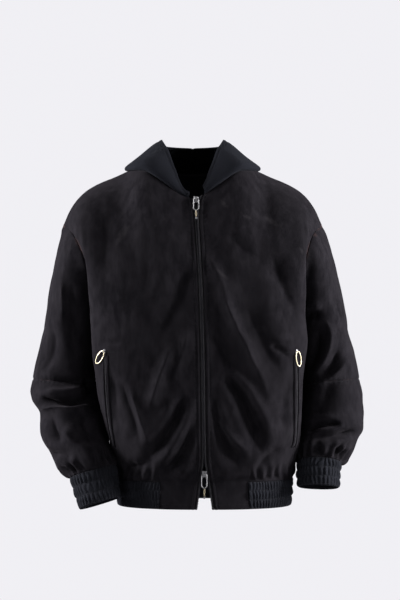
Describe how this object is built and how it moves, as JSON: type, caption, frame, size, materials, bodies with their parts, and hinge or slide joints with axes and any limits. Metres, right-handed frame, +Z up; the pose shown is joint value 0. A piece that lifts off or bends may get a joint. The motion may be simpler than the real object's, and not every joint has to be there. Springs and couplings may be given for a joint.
{
  "type": "hooded zip jacket in its worn shape",
  "caption": "Wide suede zip jacket with a jersey hood lying back, drop-shoulder sleeves, gathered elastic cuffs and hem band, zip pockets with ring pulls, shown hollow as worn.",
  "frame": {"origin": "middle of the wearer's shoulders at the base of the neck, where the garment hangs", "axes": "+Z up, the front faces -Y, the wearer's left is +X"},
  "size_m": [0.6792, 0.3778, 0.7487],
  "materials": {
    "suede": "napped suede",
    "jersey": "smooth knit",
    "gathered_rib": "gathered knit over elastic",
    "zip_tape": "woven tape with coil",
    "steel": "polished",
    "pale_gold": "satin pale gold"
  },
  "bodies": {
    "jacket": {"front_left": "suede", "front_right": "suede", "back": "suede", "sleeve_upper_left": "suede", "sleeve_upper_right": "suede", "sleeve_lower_left": "suede", "sleeve_lower_right": "suede", "cuff_left": "gathered_rib", "cuff_right": "gathered_rib", "hem_band_left": "gathered_rib", "hem_band_right": "gathered_rib", "hood_left": "jersey", "hood_right": "jersey", "zip_tape_left": "zip_tape", "zip_tape_right": "zip_tape", "zip_slider_top": "steel", "zip_slider_bottom": "steel", "pocket_zip_left": "zip_tape", "pocket_zip_right": "zip_tape", "pocket_welt_left": "suede", "pocket_welt_right": "suede", "pocket_slider_left": "steel", "pocket_slider_right": "steel"},
    "pull_top": {"pull_loop_top": "steel", "pull_bar_top": "pale_gold", "pull_end_top": "steel"},
    "pull_bottom": {"pull_loop_bottom": "steel", "pull_bar_bottom": "pale_gold", "pull_end_bottom": "steel"},
    "ring_left": {"pocket_ring_left": "pale_gold"},
    "ring_right": {"pocket_ring_right": "pale_gold"}
  },
  "joints": [
    {"name": "top_pull_lift", "type": "hinge", "parent": "jacket", "child": "pull_top", "pos_m": [-0.0037, -0.10125, -0.05933], "axis": [-1, 0, 0], "range_deg": [0, 130]},
    {"name": "bottom_pull_lift", "type": "hinge", "parent": "jacket", "child": "pull_bottom", "pos_m": [0.01256, -0.15282, -0.60818], "axis": [-1, 0, 0], "range_deg": [0, 130]},
    {"name": "left_ring_lift", "type": "hinge", "parent": "jacket", "child": "ring_left", "pos_m": [0.19859, -0.13001, -0.36433], "axis": [-0.712, -0.6594, -0.2414], "range_deg": [0, 110]},
    {"name": "right_ring_lift", "type": "hinge", "parent": "jacket", "child": "ring_right", "pos_m": [-0.18822, -0.13335, -0.3643], "axis": [-0.6233, 0.4469, 0.6417], "range_deg": [0, 110]}
  ]
}
